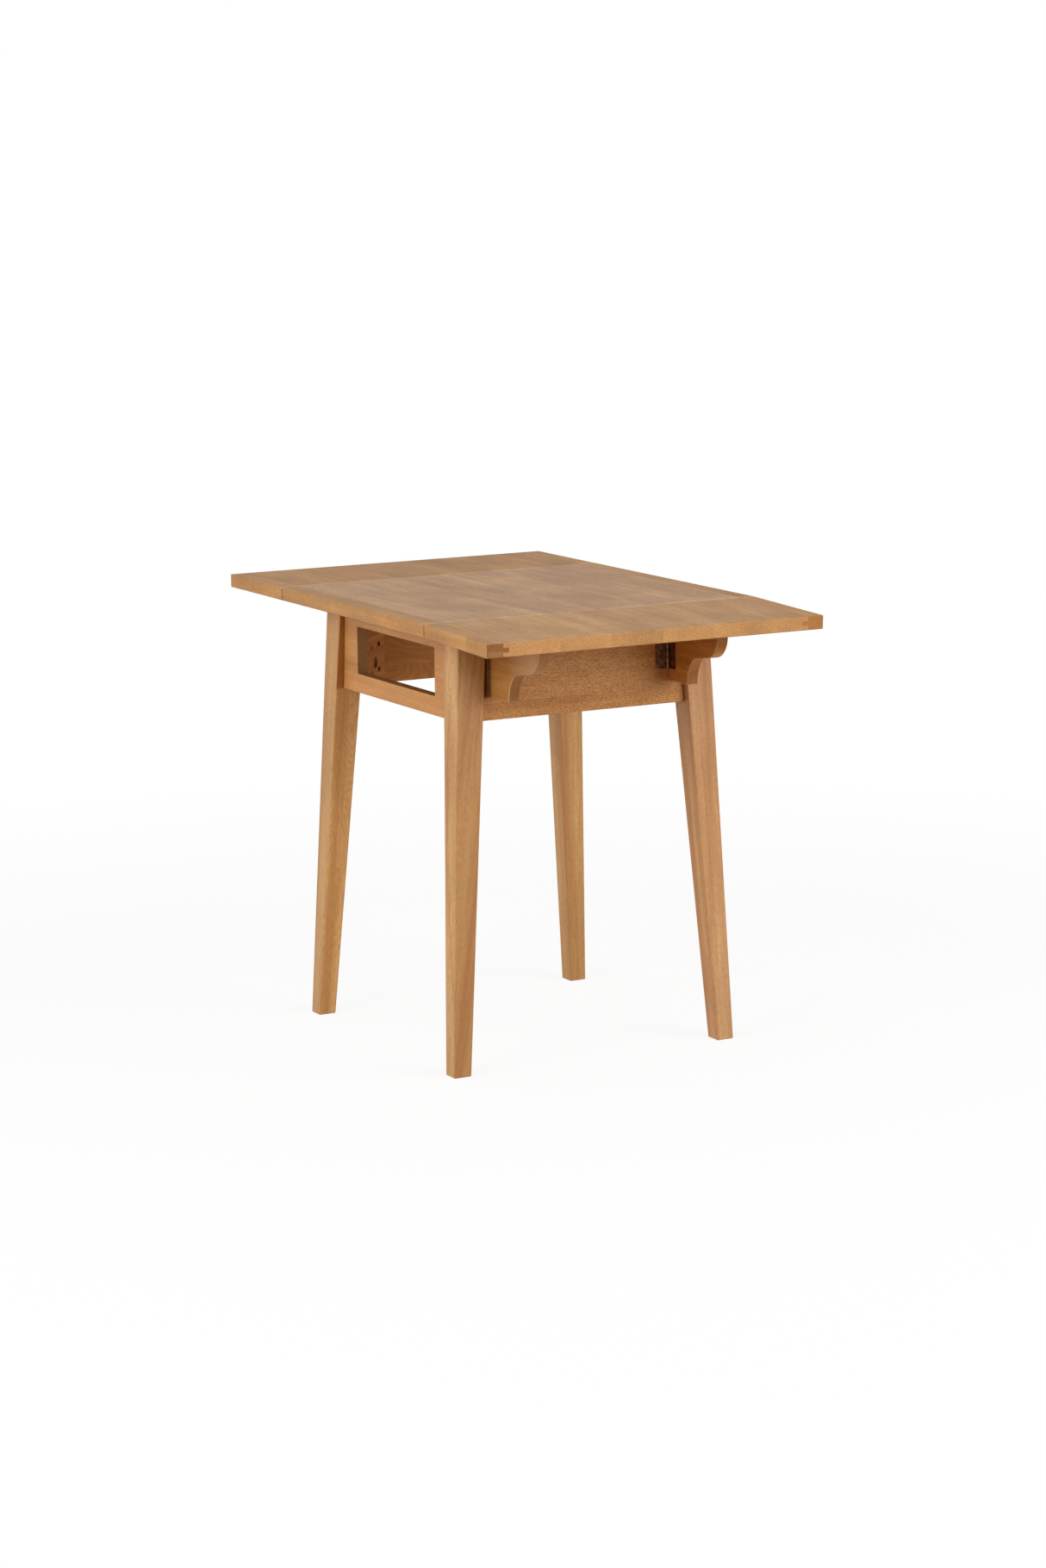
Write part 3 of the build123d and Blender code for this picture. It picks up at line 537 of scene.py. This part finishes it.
def makePlating(name, plating):
    material, tree = newMaterial(name)
    place = addNode(tree, "ShaderNodeTexCoord").outputs["Object"]
    patch = addNode(tree, "ShaderNodeTexNoise",
                    {"Vector": place, "Scale": 1 / (plating["patchSize"] * mm), "Detail": 3.0}).outputs[0]
    share = addNode(tree, "ShaderNodeMapRange",
                    {0: patch, 1: plated["rubFrom"], 2: plated["rubFull"], 3: 0.0, 4: 1.0}).outputs[0]
    colour = addNode(tree, "ShaderNodeMix",
                     {0: share, 6: srgb(plating["base"]), 7: srgb(plating["rubbed"])},
                     data_type="RGBA").outputs[2]
    dull = addNode(tree, "ShaderNodeMapRange",
                   {0: share, 1: 0.0, 2: 1.0,
                    3: plating["roughness"], 4: plating["roughness"] - plated["polish"]}).outputs[0]
    grit = addNode(tree, "ShaderNodeTexNoise",
                   {"Vector": place, "Scale": 1 / (plating["gritSize"] * mm), "Detail": 1.0}).outputs[0]
    bump = addNode(tree, "ShaderNodeBump",
                   {"Height": grit, "Strength": plated["grit"],
                    "Distance": plated["gritDepth"] * mm}).outputs[0]
    surface = addNode(tree, "ShaderNodeBsdfPrincipled",
                      {"Base Color": colour, "Metallic": 1.0, "Roughness": dull, "Normal": bump})
    addNode(tree, "ShaderNodeOutputMaterial", {"Surface": surface.outputs[0]})
    return material


plated = {"rubFrom": 0.42, "rubFull": 0.66, "polish": 0.08, "grit": 0.15, "gritDepth": 0.05}
# hinges: an antique bronze plating, rubbed lighter on the high spots
hingeMetal = {"base": "#5a3b27", "rubbed": "#8a6240", "patchSize": 9, "gritSize": 0.8, "roughness": 0.42}
hingeBronze = makePlating("antique bronze plated steel", hingeMetal)
# hinge screws: the same plating, worn by the driver, and drawn darker as a painted shade for the screws
# that sit in shadow
screwMetal = {"base": "#6f604a", "rubbed": "#9d8e74", "patchSize": 3, "gritSize": 0.6, "roughness": 0.38}
screwBronze = makePlating("worn bronze plated steel", screwMetal)
# bolts and block screws: zinc with a faint yellow passivation, drawn dark brown as a painted shade for the
# deep holes they sit in
zincMetal = {"base": "#7d6a55", "rubbed": "#a3917a", "patchSize": 5, "gritSize": 0.5, "roughness": 0.45}
zincPlate = makePlating("yellow passivated zinc plate", zincMetal)

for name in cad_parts:
    if "hinge" in name:
        setMaterial(name, screwBronze if "screws" in name else hingeBronze)
    elif "bolt" in name or "screws" in name:
        setMaterial(name, zincPlate)
print("metals finished")


# camera at the photograph's place: degrees, metres, pixels
photoView = {
    "azimuth": -28.434, "elevation": 10.343, "roll": 0.568, "distance": 6.5408,
    "aim": (0.0, 0.0, 0.371), "slide": (-0.01007, 0.04431),
    "focalPixels": 4508.3, "frame": (1214, 1820), "sensor": 36.0,
}
turnAngle = radians(photoView["azimuth"])
liftAngle = radians(photoView["elevation"])
rollAngle = radians(photoView["roll"])
ahead = Vector((-sin(turnAngle) * cos(liftAngle), cos(turnAngle) * cos(liftAngle), -sin(liftAngle)))
level = Vector((cos(turnAngle), sin(turnAngle), 0))
plumb = ahead.cross(level)
rightward = cos(rollAngle) * level + sin(rollAngle) * plumb
downward = cos(rollAngle) * plumb - sin(rollAngle) * level
eye = Vector(photoView["aim"]) - photoView["distance"] * ahead
eye -= photoView["slide"][0] * rightward + photoView["slide"][1] * downward
lens = bpy.data.cameras.new("photoLens")
lens.sensor_width = photoView["sensor"]
lens.lens = photoView["focalPixels"] / max(photoView["frame"]) * photoView["sensor"]
camera = bpy.data.objects.new("photoCamera", lens)
camera.matrix_world = Matrix.Translation(eye) @ Matrix((rightward, -downward, -ahead)).transposed().to_4x4()
bpy.context.scene.collection.objects.link(camera)
bpy.context.scene.camera = camera
print("camera placed")


# studio: white paper floor, white surround, soft boxes

# 1 for what shows in the picture, straight, mirrored or through glass, 0 for light on the table
def seenByLens(tree):
    rays = addNode(tree, "ShaderNodeLightPath").outputs
    mirrored = addNode(tree, "ShaderNodeMath",
                       {0: rays["Is Camera Ray"], 1: rays["Is Glossy Ray"]}, operation="MAXIMUM").outputs[0]
    return addNode(tree, "ShaderNodeMath",
                   {0: mirrored, 1: rays["Is Transmission Ray"]}, operation="MAXIMUM").outputs[0]


# the paper looks white with a faint shadow round the feet, and throws little light back up
paperFloor = {"size": 9.0, "white": "#f6f5f3", "bounce": "#a98a68", "glow": 0.88,
              "shadowReach": 1.1, "whiteFrom": 2.4}
floorMesh = bpy.data.meshes.new("studioFloor")
floorShape = bmesh.new()
bmesh.ops.create_grid(floorShape, x_segments=1, y_segments=1, size=paperFloor["size"])
floorShape.to_mesh(floorMesh)
floorShape.free()
floor = bpy.data.objects.new("studioFloor", floorMesh)
bpy.context.scene.collection.objects.link(floor)

paper, tree = newMaterial("white studio paper")
seen = seenByLens(tree)
place = addNode(tree, "ShaderNodeTexCoord").outputs["Object"]
away = addNode(tree, "ShaderNodeVectorMath", {0: place}, operation="LENGTH").outputs["Value"]
paleRamp = addNode(tree, "ShaderNodeMapRange",
               {0: away, 1: paperFloor["shadowReach"], 2: paperFloor["whiteFrom"],
                3: paperFloor["glow"], 4: 1.0}).outputs[0]
glow = addNode(tree, "ShaderNodeMath", {0: seen, 1: paleRamp}, operation="MULTIPLY").outputs[0]
shade = addNode(tree, "ShaderNodeMix",
                {0: seen, 6: srgb(paperFloor["bounce"]), 7: srgb(paperFloor["white"])},
                data_type="RGBA").outputs[2]
matt = addNode(tree, "ShaderNodeBsdfDiffuse", {"Color": shade}).outputs[0]
white = addNode(tree, "ShaderNodeEmission", {"Color": srgb("#ffffff"), "Strength": 1.0}).outputs[0]
both = addNode(tree, "ShaderNodeMixShader", {0: glow, 1: matt, 2: white}).outputs[0]
addNode(tree, "ShaderNodeOutputMaterial", {"Surface": both})
floorMesh.materials.append(paper)

# a white tent: its walls light the table more than its roof does, the left one most
tent = {"walls": 2.05, "roof": 0.4, "wallsTo": 0.15, "roofFrom": 0.5, "leftMore": 0.4,
        "door": (-0.476, -0.879, 0.0), "doorFrom": 0.5, "doorShare": 0.05}
world = bpy.data.worlds.new("whiteSurround")
world.use_nodes = True
tree = world.node_tree
tree.nodes.clear()
way = addNode(tree, "ShaderNodeTexCoord").outputs["Generated"]
wayAxes = addNode(tree, "ShaderNodeSeparateXYZ", {0: way}).outputs
height = addNode(tree, "ShaderNodeMapRange",
                 {0: wayAxes["Z"], 1: tent["wallsTo"], 2: tent["roofFrom"],
                  3: tent["walls"], 4: tent["roof"]}).outputs[0]
# the door, where the lens looks in, stays dim
doorwards = addNode(tree, "ShaderNodeVectorMath",
                    {0: way, 1: tent["door"]}, operation="DOT_PRODUCT").outputs["Value"]
door = addNode(tree, "ShaderNodeMapRange",
               {0: doorwards, 1: tent["doorFrom"], 2: 1.0, 3: 1.0, 4: tent["doorShare"]}).outputs[0]
lit = addNode(tree, "ShaderNodeMath", {0: height, 1: door}, operation="MULTIPLY").outputs[0]
leftward = addNode(tree, "ShaderNodeMath",
                   {0: wayAxes["X"], 1: -tent["leftMore"], 2: 1.0}, operation="MULTIPLY_ADD").outputs[0]
strength = addNode(tree, "ShaderNodeMath", {0: lit, 1: leftward}, operation="MULTIPLY").outputs[0]
cloth = addNode(tree, "ShaderNodeBackground", {"Color": srgb("#ffffff"), "Strength": strength}).outputs[0]
backdrop = addNode(tree, "ShaderNodeBackground", {"Color": srgb("#ffffff"), "Strength": 1.0}).outputs[0]
either = addNode(tree, "ShaderNodeMixShader", {0: seenByLens(tree), 1: cloth, 2: backdrop}).outputs[0]
addNode(tree, "ShaderNodeOutputWorld", {"Surface": either})
bpy.context.scene.world = world

# soft boxes: where they stand, how large and how strong, all aimed at the table's middle
softBoxAim = (0, 0, 0.5)
softBoxes = {
    "keyLeft": {"at": (-3.9, -1.4, 2.25), "size": 2.4, "watts": 91},
    "fillRight": {"at": (2.3, -3.3, 1.8), "size": 3.0, "watts": 113},
}
for name, box in softBoxes.items():
    lamp = bpy.data.lights.new(name, "AREA")
    lamp.energy = box["watts"]
    lamp.size = box["size"]
    stand = bpy.data.objects.new(name, lamp)
    stand.location = box["at"]
    aim = Vector(softBoxAim) - Vector(box["at"])
    stand.rotation_euler = aim.to_track_quat("-Z", "Y").to_euler()
    bpy.context.scene.collection.objects.link(stand)
bpy.context.scene.view_settings.view_transform = "Standard"
print("studio lit:", len(softBoxes), "soft boxes")
